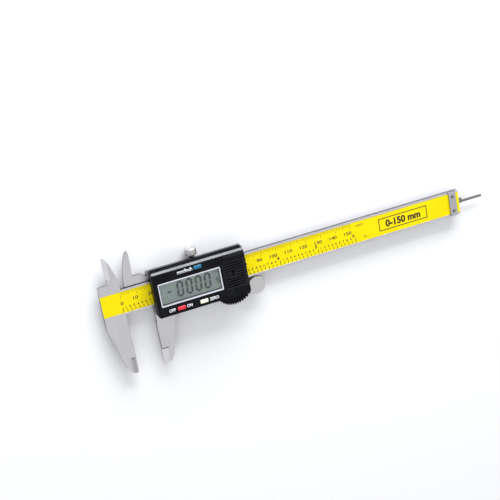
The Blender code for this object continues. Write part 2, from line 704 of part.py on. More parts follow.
def make_lock_screw():
    joint = empty("lock_joint", (LOCK_X, 0, LOCK_Z), SLIDER)
    screw = cylinder("lock_screw", joint, (0, 16.2, 0), (0, 20.6, 0), LOCK_HEAD_RADIUS, 40)
    chamfer(screw, 0.3)
    join(
        screw,
        cone("join_lock_neck", joint, (0, 15.0, 0), (0, 16.4, 0), (1.2, LOCK_HEAD_RADIUS - 0.4), 40),
        cylinder("join_lock_shaft", joint, (0, 9.9, 0), (0, 15.2, 0), 0.9, 20),
    )
    paint(screw, "steel")


def make_roller():
    x, y = ROLLER_CENTRE
    joint = empty("roller_joint", (x, y, 0), SLIDER)
    roller = cylinder("thumb_roller", joint, (0, 0, ROLLER_Z[0]), (0, 0, ROLLER_Z[1]), ROLLER_RADIUS, 48)
    chamfer(roller, 0.25)
    cut(roller, cylinder("cut_roller_bore", joint, (0, 0, -3.0), (0, 0, 1.0), 1.15, 24))
    axle = cylinder("roller_axle", SLIDER, (x, y, -4.6), (x, y, 0.8), 1.0, 24)
    join(axle, cylinder("join_axle_head", SLIDER, (x, y, -4.9), (x, y, -4.4), 1.8, 24))
    paint(roller, "steel")
    paint(axle, "steel")


def build():
    make_main_beam()
    make_scale()
    make_end_stop()
    make_slider_frame()
    make_gib()
    make_depth_rod()
    make_back_plate()
    make_module_screws()
    make_cover()
    make_window()
    make_board()
    make_battery()
    make_button("power", "button_red")
    make_button("zero", "button_cream")
    make_button("unit", "button_blue")
    make_battery_door()
    make_port_door()
    make_lock_screw()
    make_roller()


clear_scene()
PARTS = new_collection("digital_caliper")
CUTTERS = new_collection("cutters")
LOOKS = {name: make_material(name) for name in MATERIALS}
ROOT = empty("caliper", [-value for value in FACE_CENTRE])
SLIDER = empty("slider_joint", (OPENING, 0, 0), ROOT)
build()
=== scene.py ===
import math

import bmesh
import bpy
from mathutils import Matrix, Vector


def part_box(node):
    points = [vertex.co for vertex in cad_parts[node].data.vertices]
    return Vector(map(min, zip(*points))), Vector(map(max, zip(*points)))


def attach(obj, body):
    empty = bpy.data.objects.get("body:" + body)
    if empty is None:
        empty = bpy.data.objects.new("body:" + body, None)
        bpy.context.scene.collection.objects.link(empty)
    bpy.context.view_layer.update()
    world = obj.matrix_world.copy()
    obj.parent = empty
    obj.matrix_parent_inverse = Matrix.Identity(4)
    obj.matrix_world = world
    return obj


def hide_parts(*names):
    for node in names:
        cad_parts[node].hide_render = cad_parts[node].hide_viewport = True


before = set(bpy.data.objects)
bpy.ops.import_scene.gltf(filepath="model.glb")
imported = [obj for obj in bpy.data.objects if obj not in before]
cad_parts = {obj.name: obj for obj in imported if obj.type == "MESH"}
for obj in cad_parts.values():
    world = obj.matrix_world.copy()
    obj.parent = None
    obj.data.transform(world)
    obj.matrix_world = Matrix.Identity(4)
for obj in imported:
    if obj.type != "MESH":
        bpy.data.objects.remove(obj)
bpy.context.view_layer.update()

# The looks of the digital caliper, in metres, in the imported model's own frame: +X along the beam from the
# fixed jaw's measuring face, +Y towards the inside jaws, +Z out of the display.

MM = 0.001

# Boxes and heights read from the frame
LABEL_LOW, LABEL_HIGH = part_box("scale_label")
COVER_LOW, COVER_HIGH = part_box("cover_shell")
CENTRE_Y = (LABEL_LOW.y + LABEL_HIGH.y) / 2
FACE_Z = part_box("main_beam")[1].z
PANEL_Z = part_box("lcd_panel")[1].z
REST_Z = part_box("back_plate")[0].z

# The sliding jaw's measuring edge, the scale's zero mark, and where the beam's edge gives way to the jaws
JAW_X = COVER_LOW.x - 0.9 * MM
ZERO_X = -1.2 * MM
BEAM_HALF_WIDTH = 8.0 * MM
JAW_TIP_FROM = 36.6 * MM

# The thumb grip on the cover's lower right: how far its slope reaches in, its fall per length, and its bounds
GRIP_DEPTH_Y = 6.0 * MM
GRIP_FALL = 2.5 / 6.0
GRIP_FLOOR_Z = 3.0 * MM
GRIP_LEFT_X = COVER_LOW.x + 36.0 * MM

# The photograph's view: place, line of sight and which way is up in the picture
CAMERA_PLACE = (-0.1481, 0.3469, 0.7999)
CAMERA_SIGHT = (0.2607, -0.3445, -0.9019)
CAMERA_UP = (0.2754, 0.9219, -0.2726)
CAMERA_LENS = 105.1
FLOOR_HALF_SIZE = 3.0

# The label: tick counts, spacings in millimetres, and where its box begins and ends along the scale
MM_TICKS = 150
INCH_TICKS = 60
TENTH_INCH = 2.54 * MM
MM_TICK_HALF = 0.1 * MM
INCH_TICK_HALF = 0.2 * MM
BOX_FROM = 169.0 * MM
BOX_TO = 202.5 * MM
BOX_HALF_HEIGHT = 4.1 * MM
BOX_LINE = 0.55 * MM
INK_HEIGHT = 0.02 * MM

# The battery cover: ribs, mesh rows per rib, and depths in metres
RIB_COUNT = 11
RIB_STEPS = 10
RIB_DEPTH = 0.8 * MM
TONGUE_WIDTH = 0.7 * MM
TONGUE_HEIGHT = 0.4 * MM

# The display, in millimetres from the sliding jaw's edge and the label's middle line
DIGIT_LEFTS = (14.6, 20.4, 26.2, 32.0)
DIGIT_BOTTOM = -4.5
DIGIT_SIZE = (4.4, 10.1)
DIGIT_STROKE = 1.35
GHOST_STROKE = 0.9
SMALL_DIGIT_PLACE = (39.4, -3.0)
SMALL_DIGIT_SIZE = (2.4, 3.9)
SMALL_DIGIT_STROKE = 0.65
# The dark frame that paints the ring's shadow round the display: its width and height, in metres.
RING_SHADOW_WIDTH = 0.4 * MM
RING_SHADOW_HEIGHT = 0.3 * MM


# ---- node trees ----


class Tree:
    """A small helper that adds shader nodes and links them."""

    def __init__(self, name):
        self.material = bpy.data.materials.new(name)
        self.material.use_nodes = True
        self.nodes = self.material.node_tree.nodes
        self.links = self.material.node_tree.links
        self.shader = self.nodes["Principled BSDF"]
        self.output = self.nodes["Material Output"]

    def add(self, kind, inputs=None, **settings):
        """Adds a node. inputs maps socket names or numbers to values or to other nodes' outputs."""
        item = self.nodes.new(kind)
        for key, value in settings.items():
            setattr(item, key, value)
        for key, value in (inputs or {}).items():
            self.put(item.inputs[key], value)
        return item

    def put(self, socket, value):
        """Links a socket to another node's output, or sets it to a plain value."""
        if isinstance(value, bpy.types.NodeSocket):
            self.links.new(value, socket)
        else:
            socket.default_value = value

    def set(self, **values):
        """Sets sockets of the Principled shader; an underscore stands for a space."""
        for key, value in values.items():
            self.put(self.shader.inputs[key.replace("_", " ")], value)

    def place(self, scale=(1, 1, 1)):
        """Object coordinates, in metres, stretched by scale."""
        coordinates = self.add("ShaderNodeTexCoord")
        mapping = self.add("ShaderNodeMapping", {"Vector": coordinates.outputs["Object"], "Scale": scale})
        return mapping.outputs["Vector"]

    def noise(self, vector, scale, detail=3.0, roughness=0.5):
        """A noise value of about 0.3 to 0.7 at each place."""
        inputs = {"Vector": vector, "Scale": scale, "Detail": detail, "Roughness": roughness}
        return self.add("ShaderNodeTexNoise", inputs).outputs["Fac"]

    def math(self, operation, first, second=0.0):
        """One sum, product or other simple step on values."""
        return self.add("ShaderNodeMath", {0: first, 1: second}, operation=operation).outputs[0]

    def between(self, value, low, high, to_low=0.0, to_high=1.0):
        """A value carried from low..high to to_low..to_high, and held at their ends."""
        inputs = {"Value": value, "From Min": low, "From Max": high, "To Min": to_low, "To Max": to_high}
        return self.add("ShaderNodeMapRange", inputs).outputs["Result"]

    def mix(self, factor, first, second):
        """A colour between two others."""
        item = self.add("ShaderNodeMix", {"Factor": factor}, data_type="RGBA")
        self.put(item.inputs[6], first)
        self.put(item.inputs[7], second)
        return item.outputs[2]

    def bump(self, height, distance, strength=1.0):
        """Gives the surface a fine relief, distance metres deep."""
        item = self.add("ShaderNodeBump", {"Height": height, "Distance": distance, "Strength": strength})
        self.put(self.shader.inputs["Normal"], item.outputs["Normal"])


def rgb(red, green, blue):
    """A linear colour with full cover."""
    return (red, green, blue, 1.0)


# ---- materials ----


def ground_steel(name, tone=0.65, roughness=0.3):
    """Ground stainless steel: streaks along the beam, across it on the jaws, and painted shade that darkens
    the upright walls.
    """
    tree = Tree(name)
    along = tree.noise(tree.place((18, 900, 900)), 1.0, 4.0, 0.65)
    across = tree.noise(tree.place((900, 30, 900)), 1.0, 4.0, 0.65)
    position = tree.add("ShaderNodeTexCoord").outputs["Object"]
    height = tree.add("ShaderNodeSeparateXYZ", {0: position}).outputs["Y"]
    offset = tree.math("ABSOLUTE", tree.math("SUBTRACT", height, CENTRE_Y))
    on_jaw = tree.between(offset, BEAM_HALF_WIDTH, BEAM_HALF_WIDTH + 0.6 * MM)
    streaks = tree.add("ShaderNodeMix", {0: on_jaw, 2: along, 3: across}).outputs[0]
    blotches = tree.noise(tree.place(), 90.0, 4.0)
    smudges = tree.between(blotches, 0.35, 0.7)
    dark = rgb(tone * 0.78, tone * 0.77, tone * 0.79)
    light = rgb(tone * 1.12, tone * 1.1, tone * 1.13)
    soiled = rgb(tone * 0.78, tone * 0.77, tone * 0.8)
    base = tree.mix(streaks, dark, light)
    ground = tree.mix(tree.math("MULTIPLY", smudges, 0.25), base, soiled)
    # Painted shade: upright faces, such as the beam's rims, get a much darker steel colour, as if they lay in
    # shade.
    normal = tree.add("ShaderNodeTexCoord").outputs["Normal"]
    upright = tree.add("ShaderNodeSeparateXYZ", {0: normal}).outputs["Z"]
    wall_painted_shade = tree.between(tree.math("ABSOLUTE", upright), 0.5, 0.2)
    tree.set(Base_Color=tree.mix(wall_painted_shade, ground, rgb(tone * 0.34, tone * 0.33, tone * 0.36)))
    rough = tree.between(streaks, 0.3, 0.7, roughness - 0.05, roughness + 0.08)
    tree.set(Roughness=tree.math("ADD", rough, tree.math("MULTIPLY", smudges, 0.06)), Metallic=1.0)
    tree.bump(streaks, 0.004 * MM, 0.55)
    return tree.material


def turned_steel(name, centre, axis, tone=0.7, roughness=0.27):
    """Steel turned on a lathe: fine rings round the axis, and a light satin."""
    tree = Tree(name)
    position = tree.add("ShaderNodeTexCoord").outputs["Object"]
    offset = tree.add("ShaderNodeVectorMath", {0: position, 1: centre}, operation="SUBTRACT").outputs[0]
    mask = tuple(0.0 if index == axis else 1.0 for index in range(3))
    flat = tree.add("ShaderNodeVectorMath", {0: offset, 1: mask}, operation="MULTIPLY").outputs[0]
    radius = tree.add("ShaderNodeVectorMath", {0: flat}, operation="LENGTH").outputs["Value"]
    ring = tree.add("ShaderNodeCombineXYZ", {0: tree.math("MULTIPLY", radius, 5200.0)}).outputs[0]
    rings = tree.noise(ring, 1.0, 3.0, 0.7)
    cloud = tree.noise(tree.place(), 240.0, 3.0)
    dark = rgb(tone * 0.88, tone * 0.87, tone * 0.85)
    light = rgb(tone * 1.06, tone * 1.05, tone * 1.04)
    dull = rgb(tone * 0.8, tone * 0.8, tone * 0.8)
    base = tree.mix(rings, dark, light)
    tree.set(Base_Color=tree.mix(tree.math("MULTIPLY", cloud, 0.2), base, dull))
    tree.set(Roughness=tree.between(rings, 0.3, 0.7, roughness - 0.04, roughness + 0.08), Metallic=1.0)
    tree.bump(rings, 0.004 * MM, 0.6)
    return tree.material


def plain_metal(name, low, high, roughness, grain=1500.0):
    """A small metal part: two close tones in a fine grain, with uneven polish."""
    tree = Tree(name)
    grains = tree.noise(tree.place(), grain, 4.0, 0.6)
    patches = tree.noise(tree.place(), grain / 12.0, 3.0)
    tree.set(Base_Color=tree.mix(tree.between(patches, 0.35, 0.65), rgb(*low), rgb(*high)), Metallic=1.0)
    tree.set(Roughness=tree.between(grains, 0.3, 0.7, roughness - 0.06, roughness + 0.1))
    tree.bump(grains, 0.003 * MM, 0.5)
    return tree.material


def moulded_plastic(name, colour, roughness=0.42, grain=0.6, gloss=0.5):
    """Moulded plastic with a fine spark-eroded grain and slightly worn, brighter patches."""
    tree = Tree(name)
    pits = tree.noise(tree.place(), 3200.0, 2.0, 0.55)
    wear = tree.noise(tree.place(), 160.0, 4.0, 0.6)
    worn = tuple(min(1.0, channel * 1.25 + 0.004) for channel in colour)
    tree.set(Base_Color=tree.mix(tree.between(wear, 0.45, 0.75), rgb(*colour), rgb(*worn)))
    tree.set(Roughness=tree.between(wear, 0.3, 0.7, roughness - 0.06, roughness + 0.08))
    tree.shader.inputs["Specular IOR Level"].default_value = gloss
    tree.bump(pits, 0.012 * MM, grain)
    return tree.material


def silver_paint(name):
    """Silver lacquer: fine bright flakes in a pale lavender ground."""
    tree = Tree(name)
    flakes = tree.noise(tree.place(), 5200.0, 2.0)
    ground, flake = rgb(0.66, 0.66, 0.73), rgb(0.85, 0.85, 0.92)
    tree.set(Base_Color=tree.mix(tree.between(flakes, 0.4, 0.65), ground, flake))
    tree.set(Roughness=tree.between(flakes, 0.3, 0.7, 0.36, 0.5), Metallic=0.3)
    tree.bump(flakes, 0.003 * MM, 0.4)
    return tree.material


def label_film(name):
    """Printed yellow film under a clear coat, with a faint print grain and a little soiling."""
    tree = Tree(name)
    grain = tree.noise(tree.place(), 2600.0, 2.0)
    cloud = tree.noise(tree.place((1, 2.5, 1)), 55.0, 4.0, 0.6)
    base = tree.mix(tree.between(cloud, 0.3, 0.75), rgb(0.95, 0.79, 0.0), rgb(0.88, 0.68, 0.0))
    tree.set(Base_Color=tree.mix(tree.math("MULTIPLY", grain, 0.08), base, rgb(0.76, 0.56, 0.0)))
    tree.set(Roughness=tree.between(cloud, 0.3, 0.7, 0.34, 0.44))
    tree.shader.inputs["Specular IOR Level"].default_value = 0.12
    tree.shader.inputs["Coat Weight"].default_value = 0.03
    tree.shader.inputs["Coat Roughness"].default_value = 0.15
    tree.bump(grain, 0.004 * MM, 0.4)
    return tree.material


def printed_ink(name, colour, roughness=0.5):
    """Screen-printed ink: a touch uneven in cover and gloss."""
    tree = Tree(name)
    cover = tree.noise(tree.place(), 2200.0, 3.0)
    thin = tuple(channel * 0.8 + 0.02 for channel in colour)
    tree.set(Base_Color=tree.mix(tree.between(cover, 0.45, 0.8), rgb(*colour), rgb(*thin)))
    tree.set(Roughness=tree.between(cover, 0.3, 0.7, roughness - 0.05, roughness + 0.1))
    tree.bump(cover, 0.003 * MM, 0.4)
    return tree.material


def display_glass(name):
    """The display's reflector seen through its polariser: grey-green, with a fine fibre grain."""
    tree = Tree(name)
    fibres = tree.noise(tree.place((260, 2400, 1)), 1.0, 3.0)
    cloud = tree.noise(tree.place(), 45.0, 2.0)
    base = tree.mix(tree.between(cloud, 0.35, 0.65), rgb(0.39, 0.45, 0.435), rgb(0.45, 0.51, 0.49))
    tree.set(Base_Color=tree.mix(tree.math("MULTIPLY", fibres, 0.25), base, rgb(0.48, 0.53, 0.5)))
    tree.set(Roughness=tree.between(fibres, 0.3, 0.7, 0.34, 0.5))
    tree.bump(fibres, 0.002 * MM, 0.3)
    return tree.material


def clear_lens(name):
    """A clear acrylic window: it lets light through and mirrors a little, more so at a slant."""
    tree = Tree(name)
    haze = tree.noise(tree.place(), 700.0, 3.0)
    tree.set(Base_Color=rgb(0.95, 0.97, 0.97), Roughness=tree.between(haze, 0.3, 0.7, 0.05, 0.1))
    clear = tree.add("ShaderNodeBsdfTransparent", {"Color": rgb(0.96, 0.98, 0.97)})
    shine = tree.add("ShaderNodeFresnel", {"IOR": 1.45})
    parts = {0: shine.outputs[0], 1: clear.outputs[0], 2: tree.shader.outputs[0]}
    blend = tree.add("ShaderNodeMixShader", parts)
    tree.put(tree.output.inputs["Surface"], blend.outputs[0])
    return tree.material


def circuit_board(name):
    """Green solder mask with faint copper tracks under it."""
    tree = Tree(name)
    waves = {"Vector": tree.place(), "Scale": 260.0, "Distortion": 6.0, "Detail": 1.0}
    tracks = tree.add("ShaderNodeTexWave", waves)
    lines = tree.between(tracks.outputs["Fac"], 0.55, 0.7)
    tree.set(Base_Color=tree.mix(lines, rgb(0.012, 0.11, 0.035), rgb(0.03, 0.2, 0.07)))
    tree.set(Roughness=tree.between(tree.noise(tree.place(), 900.0), 0.3, 0.7, 0.28, 0.4))
    tree.bump(lines, 0.01 * MM, 0.5)
    return tree.material


def paper_floor(name):
    """A pale studio sheet with a barely seen tooth."""
    tree = Tree(name)
    tooth = tree.noise(tree.place(), 350.0, 3.0)
    tree.set(Base_Color=tree.mix(tooth, rgb(0.92, 0.92, 0.92), rgb(0.95, 0.95, 0.95)), Roughness=0.85)
    tree.shader.inputs["Specular IOR Level"].default_value = 0.15
    return tree.material


# ---- meshes ----


def new_piece(name, shape, material, body, slot, *nodes):
    """Makes an object from a bmesh, puts it on a body and, if nodes are named, in their place."""
    mesh = bpy.data.meshes.new(name)
    shape.to_mesh(mesh)
    shape.free()
    mesh.materials.append(material)
    piece = bpy.data.objects.new(name, mesh)
    bpy.context.scene.collection.objects.link(piece)
    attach(piece, body)
    if nodes:
        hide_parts(*nodes)
    return piece


def softened(node, material, body, slot, width=0.12, segments=2, angle=12):
    """Stands for a CAD node: the same shape with its edges broken by a small radius, in millimetres."""
    shape = bmesh.new()
    shape.from_mesh(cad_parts[node].data)
    bmesh.ops.remove_doubles(shape, verts=shape.verts, dist=0.0005 * MM)
    bmesh.ops.dissolve_limit(shape, angle_limit=math.radians(1.0), verts=shape.verts, edges=shape.edges)
    for face in shape.faces:
        face.smooth = True
    piece = new_piece(node + "_finished", shape, material, body, slot, node)
    edges = piece.modifiers.new("broken edges", "BEVEL")
    edges.width = width * MM
    edges.segments = segments
    edges.limit_method = "ANGLE"
    edges.angle_limit = math.radians(angle)
    edges.harden_normals = True
    piece.data.set_sharp_from_angle(angle=math.radians(angle))
    return piece


def dress(node, material):
    """Gives a CAD node its material."""
    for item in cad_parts[node].material_slots:
        item.material = material


def block(shape, low, high):
    """Adds a box between two corners, in metres."""
    size = Vector(high) - Vector(low)
    middle = (Vector(high) + Vector(low)) / 2
    bmesh.ops.create_cube(shape, size=1.0, matrix=Matrix.Translation(middle) @ Matrix.Diagonal((*size, 1.0)))


def prism(shape, outline, low, high):
    """Adds an upright prism on a flat outline, in metres."""
    ring = [shape.verts.new((x, y, low)) for x, y in outline]
    face = shape.faces.new(ring)
    top = bmesh.ops.extrude_face_region(shape, geom=[face])
    raised = [item for item in top["geom"] if isinstance(item, bmesh.types.BMVert)]
    bmesh.ops.translate(shape, verts=raised, vec=(0, 0, high - low))
    bmesh.ops.recalc_face_normals(shape, faces=shape.faces)


def lettering(shape, text, place, height, align="CENTER", stretch=1.0, weight=0.0):
    """Adds plain letters, one ink layer thick, whose middle, left or right end is at place, in metres."""
    curve = bpy.data.curves.new("letters", "FONT")
    curve.body = text
    curve.size = 1.0
    curve.resolution_u = 3
    curve.offset = weight
    drawing = bpy.data.objects.new("letters", curve)
    bpy.context.scene.collection.objects.link(drawing)
    bpy.context.view_layer.update()
    mesh = bpy.data.meshes.new_from_object(drawing.evaluated_get(bpy.context.evaluated_depsgraph_get()))
    bpy.data.objects.remove(drawing)
    xs = [vertex.co.x for vertex in mesh.vertices]
    ys = [vertex.co.y for vertex in mesh.vertices]
    scale = height / (max(ys) - min(ys))
    anchor = {"LEFT": min(xs), "CENTER": (min(xs) + max(xs)) / 2, "RIGHT": max(xs)}[align]
    shift = Matrix.Translation((-anchor, -(min(ys) + max(ys)) / 2, 0))
    sized = Matrix.Diagonal((scale * stretch, scale, 1, 1)) @ shift
    mesh.transform(Matrix.Translation(place) @ sized)
    letters = bmesh.new()
    letters.from_mesh(mesh)
    solid = bmesh.ops.extrude_face_region(letters, geom=letters.faces[:])
    raised = [item for item in solid["geom"] if isinstance(item, bmesh.types.BMVert)]
    bmesh.ops.translate(letters, verts=raised, vec=(0, 0, INK_HEIGHT))
    letters.to_mesh(mesh)
    letters.free()
    shape.from_mesh(mesh)
    bpy.data.meshes.remove(mesh)


# ---- the beam ----


def add_scale_marks(ink):
    """The millimetre scale along the top of the label and the inch scale along its bottom."""
    shape = bmesh.new()
    low = LABEL_HIGH.z
    high = low + INK_HEIGHT
    top = LABEL_HIGH.y - 0.15 * MM
    bottom = LABEL_LOW.y + 0.35 * MM
    for tick in range(MM_TICKS + 1):
        x = ZERO_X + tick * MM
        length = (3.6 if tick % 10 == 0 else 2.7 if tick % 5 == 0 else 1.9) * MM
        block(shape, (x - MM_TICK_HALF, top - length, low), (x + MM_TICK_HALF, top, high))
    for tick in range(INCH_TICKS + 1):
        x = ZERO_X + tick * TENTH_INCH
        length = (3.0 if tick % 10 == 0 else 1.7) * MM
        block(shape, (x - INCH_TICK_HALF, bottom, low), (x + INCH_TICK_HALF, bottom + length, high))
    new_piece("scale_ticks", shape, ink, "beam", "label_yellow")


def add_scale_numbers(ink):
    """The numbers of both scales, and their units past the last mark."""
    shape = bmesh.new()
    z = LABEL_HIGH.z
    zero_place = (ZERO_X, CENTRE_Y - 0.5 * MM, z)
    lettering(shape, "0", zero_place, 2.2 * MM, stretch=1.25, weight=0.02)
    for value in range(10, MM_TICKS + 1, 10):
        place = (ZERO_X + (value + 0.3) * MM, CENTRE_Y + 0.85 * MM, z)
        lettering(shape, str(value), place, 2.15 * MM, "RIGHT", 1.3, weight=0.022)
    for tick in range(1, INCH_TICKS + 1):
        x = ZERO_X + tick * TENTH_INCH
        if tick % 10:
            place = (x - 0.6 * MM, CENTRE_Y - 3.35 * MM, z)
            lettering(shape, str(tick % 10), place, 1.4 * MM, stretch=1.15, weight=0.035)
        else:
            place = (x - 1.1 * MM, CENTRE_Y - 1.6 * MM, z)
            lettering(shape, str(tick // 10), place, 2.1 * MM, stretch=1.2, weight=0.035)
    mm_place = (ZERO_X + 156.2 * MM, CENTRE_Y + 4.1 * MM, z)
    inch_place = (ZERO_X + 159.2 * MM, CENTRE_Y - 4.1 * MM, z)
    lettering(shape, "mm", mm_place, 1.3 * MM, stretch=1.2)
    lettering(shape, "in", inch_place, 1.5 * MM, stretch=1.2)
    new_piece("scale_numbers", shape, ink, "beam", "label_yellow")


def add_range_box(ink):
    """A plain box with the caliper's range in it."""
    shape = bmesh.new()
    z = LABEL_HIGH.z
    left, right = ZERO_X + BOX_FROM, ZERO_X + BOX_TO
    low, high = CENTRE_Y - BOX_HALF_HEIGHT, CENTRE_Y + BOX_HALF_HEIGHT
    line = BOX_LINE
    top = z + INK_HEIGHT
    block(shape, (left, low, z), (right, low + line, top))
    block(shape, (left, high - line, z), (right, high, top))
    block(shape, (left, low + line, z), (left + line, high - line, top))
    block(shape, (right - line, low + line, z), (right, high - line, top))
    middle = ((left + right) / 2, CENTRE_Y, z)
    lettering(shape, "0-150 mm", middle, 4.9 * MM, stretch=0.95, weight=0.045)
    new_piece("range_box", shape, ink, "beam", "label_yellow")


def dress_beam():
    """The beam with its label, its scales and the stop at its end."""
    steel = ground_steel("beam_steel")
    ink = printed_ink("scale_ink", (0.05, 0.035, 0.0))
    softened("main_beam", steel, "beam", "steel", 0.08)
    softened("end_stop_plate", ground_steel("stop_steel", 0.56, 0.34), "beam", "steel", 0.12)
    grey = plain_metal("grey_screw_steel", (0.14, 0.15, 0.145), (0.24, 0.25, 0.245), 0.34)
    for end in ("upper", "lower"):
        softened("end_stop_screw_" + end, grey, "beam", "dark_steel", 0.06)
    dress("scale_label", label_film("label_film"))
    dress("scale_strip", circuit_board("strip_board"))
    add_scale_marks(ink)
    add_scale_numbers(ink)
    add_range_box(printed_ink("box_ink", (0.03, 0.012, 0.0)))


# ---- the slider's metal ----


def knurled(profile, teeth, depth, steps=4):
    """A turned shape about +Z whose rows marked as knurled carry straight teeth.

    profile is a list of (radius, height, is_knurled), from the bottom middle to the top middle, in metres.
    """
    shape = bmesh.new()
    count = teeth * steps
    rings = []
    for radius, height, toothed in profile:
        if radius == 0.0:
            rings.append([shape.verts.new((0, 0, height))])
            continue
        ring = []
        for index in range(count):
            angle = 2 * math.pi * index / count
            wave = 0.5 - 0.5 * math.cos(2 * math.pi * (index % steps) / steps)
            reach = radius - depth * wave if toothed else radius
            ring.append(shape.verts.new((reach * math.cos(angle), reach * math.sin(angle), height)))
        rings.append(ring)
    for lower, upper in zip(rings, rings[1:]):
        for index in range(count):
            after = (index + 1) % count
            below = [lower[index % len(lower)], lower[after % len(lower)]]
            above = [upper[after % len(upper)], upper[index % len(upper)]]
            shape.faces.new(list(dict.fromkeys(below + above)))
    bmesh.ops.recalc_face_normals(shape, faces=shape.faces)
    for face in shape.faces:
        face.smooth = True
    return shape


def add_roller():
    """The thumb roller: a flat disc with a finely knurled rim and a small chamfer."""
    low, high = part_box("thumb_roller")
    centre = (low + high) / 2
    radius = (high.x - low.x) / 2
    bottom = low.z - centre.z
    top = high.z - centre.z
    edge = 0.25 * MM
    bore = 1.15 * MM
    deep = top - 0.8 * MM
    profile = [
        (0.0, deep, False),
        (bore, deep, False),
        (bore, bottom, False),
        (radius - 2 * edge, bottom, False),
        (radius - edge, bottom, False),
        (radius, bottom + edge, True),
        (radius, top - edge, True),
        (radius - edge, top, False),
        (radius - 2 * edge, top, False),
        (0.0, top, False),
    ]
    shape = knurled(profile, 72, 0.22 * MM)
    bmesh.ops.translate(shape, verts=shape.verts, vec=centre)
    steel = turned_steel("roller_steel", centre, 2, 0.63, 0.34)
    roller = new_piece("thumb_roller_knurled", shape, steel, "roller", "steel", "thumb_roller")
    roller.data.set_sharp_from_angle(angle=math.radians(28))


def add_lock_screw():
    """The lock screw: a knurled head with a dished end, a conical neck and a threaded shaft."""
    low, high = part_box("lock_screw")
    centre = (low + high) / 2
    radius = (high.x - low.x) / 2
    head = high.y - 4.4 * MM
    neck = high.y - 5.6 * MM
    edge = 0.35 * MM
    profile = [(0.0, low.y, False), (0.75 * MM, low.y, False), (0.9 * MM, low.y + 0.2 * MM, False)]
    height = low.y + 0.4 * MM
    while height < neck - 0.4 * MM:
        profile.append((0.72 * MM, height, False))
        profile.append((0.9 * MM, height + 0.2 * MM, False))
        height += 0.4 * MM
    profile += [
        (1.2 * MM, neck, False),
        (radius - 0.5 * MM, head - 0.05 * MM, False),
        (radius - edge, head, False),
        (radius, head + edge, True),
        (radius, high.y - edge, True),
        (radius - edge, high.y, False),
        (radius - 1.2 * MM, high.y, False),
        (radius - 1.6 * MM, high.y - 0.25 * MM, False),
        (0.0, high.y - 0.25 * MM, False),
    ]
    shape = knurled(profile, 36, 0.13 * MM)
    stand = Matrix.Rotation(math.radians(-90), 4, "X")
    bmesh.ops.transform(shape, verts=shape.verts, matrix=stand)
    bmesh.ops.translate(shape, verts=shape.verts, vec=(centre.x, 0, centre.z))
    steel = turned_steel("lock_steel", centre, 1, 0.74, 0.34)
    screw = new_piece("lock_screw_knurled", shape, steel, "lock", "steel", "lock_screw")
    screw.data.set_sharp_from_angle(angle=math.radians(28))


def add_jaw_marks():
    """Painted shadow: dark strips across the two outside jaws where their thin tips step down, in place of
    the shadow at that step.
    """
    # The near-black ink here paints the shadow at the step; it is not a print or a scribed line.
    ink = printed_ink("jaw_step_shade_dark", (0.02, 0.02, 0.022))
    fixed = bmesh.new()
    moving = bmesh.new()
    y = CENTRE_Y - JAW_TIP_FROM
    block(fixed, (-3.3 * MM, y, FACE_Z), (-0.6 * MM, y + 0.35 * MM, FACE_Z + INK_HEIGHT))
    block(moving, (JAW_X + 0.15 * MM, y, FACE_Z), (JAW_X + 4.4 * MM, y + 0.5 * MM, FACE_Z + INK_HEIGHT))
    new_piece("fixed_jaw_step_shadow", fixed, ink, "beam", "steel")
    new_piece("sliding_jaw_step_shadow", moving, ink, "slider", "steel")


def dress_slider_metal():
    """The slider's steel and brass, its screws, the depth rod, the cell, the roller and the lock screw."""
    softened("slider_frame", ground_steel("slider_steel"), "slider", "steel", 0.15)
    softened("back_plate", ground_steel("back_steel", 0.56, 0.3), "slider", "steel", 0.2)
    dark = plain_metal("dark_screw_steel", (0.05, 0.05, 0.055), (0.11, 0.11, 0.115), 0.38)
    for index in range(1, 5):
        softened(f"back_plate_screw_{index}", dark, "slider", "dark_steel", 0.05)
        dress(f"module_screw_{index}", dark)
    rod = plain_metal("rod_steel", (0.2, 0.2, 0.195), (0.29, 0.285, 0.28), 0.36, 900.0)
    softened("depth_rod", rod, "slider", "dark_steel", 0.15, 3)
    brass = plain_metal("gib_brass", (0.55, 0.34, 0.1), (0.72, 0.48, 0.16), 0.34)
    for name in ("gib_strip", "dome_power", "dome_zero", "dome_unit", "battery_contact_negative",
                 "battery_contact_positive"):
        dress(name, brass)
    for side in ("left", "right"):
        dress("gib_set_screw_" + side, dark)
    dress("battery_cell", plain_metal("cell_steel", (0.5, 0.5, 0.5), (0.62, 0.62, 0.62), 0.25))
    dress("roller_axle", plain_metal("axle_steel", (0.45, 0.45, 0.45), (0.6, 0.6, 0.6), 0.3))
    add_roller()
    add_lock_screw()
    add_jaw_marks()


# ---- the electronics module ----


def rib_fall(x, y, low, high, centre):
    """How far the battery cover's top lies sunk at a point: grooves between the ribs, and a mark amid them.

    low and high are the corners of the ribbed field; its outer half ribs are left plain.
    """
    slope = 0.25 * MM
    if abs(y - centre.y) < 2.0 * MM and abs(x - centre.x) < 2.1 * MM:
        on_bar = abs(x - centre.x) < 0.6 * MM and abs(y - centre.y) < 1.8 * MM
        return RIB_DEPTH if on_bar else 0.3 * RIB_DEPTH
    pitch = (high.y - low.y) / RIB_COUNT
    if min(y - low.y, high.y - y) / pitch < 0.5:
        return 0.0
    along = min(1.0, max(0.0, min(x - low.x, high.x - x) / slope))
    phase = (y - low.y) / pitch % 1.0
    from_crest = abs(phase - 0.5) * 2
    groove = min(1.0, max(0.0, (from_crest - 0.5) / 0.3))
    return RIB_DEPTH * groove * along


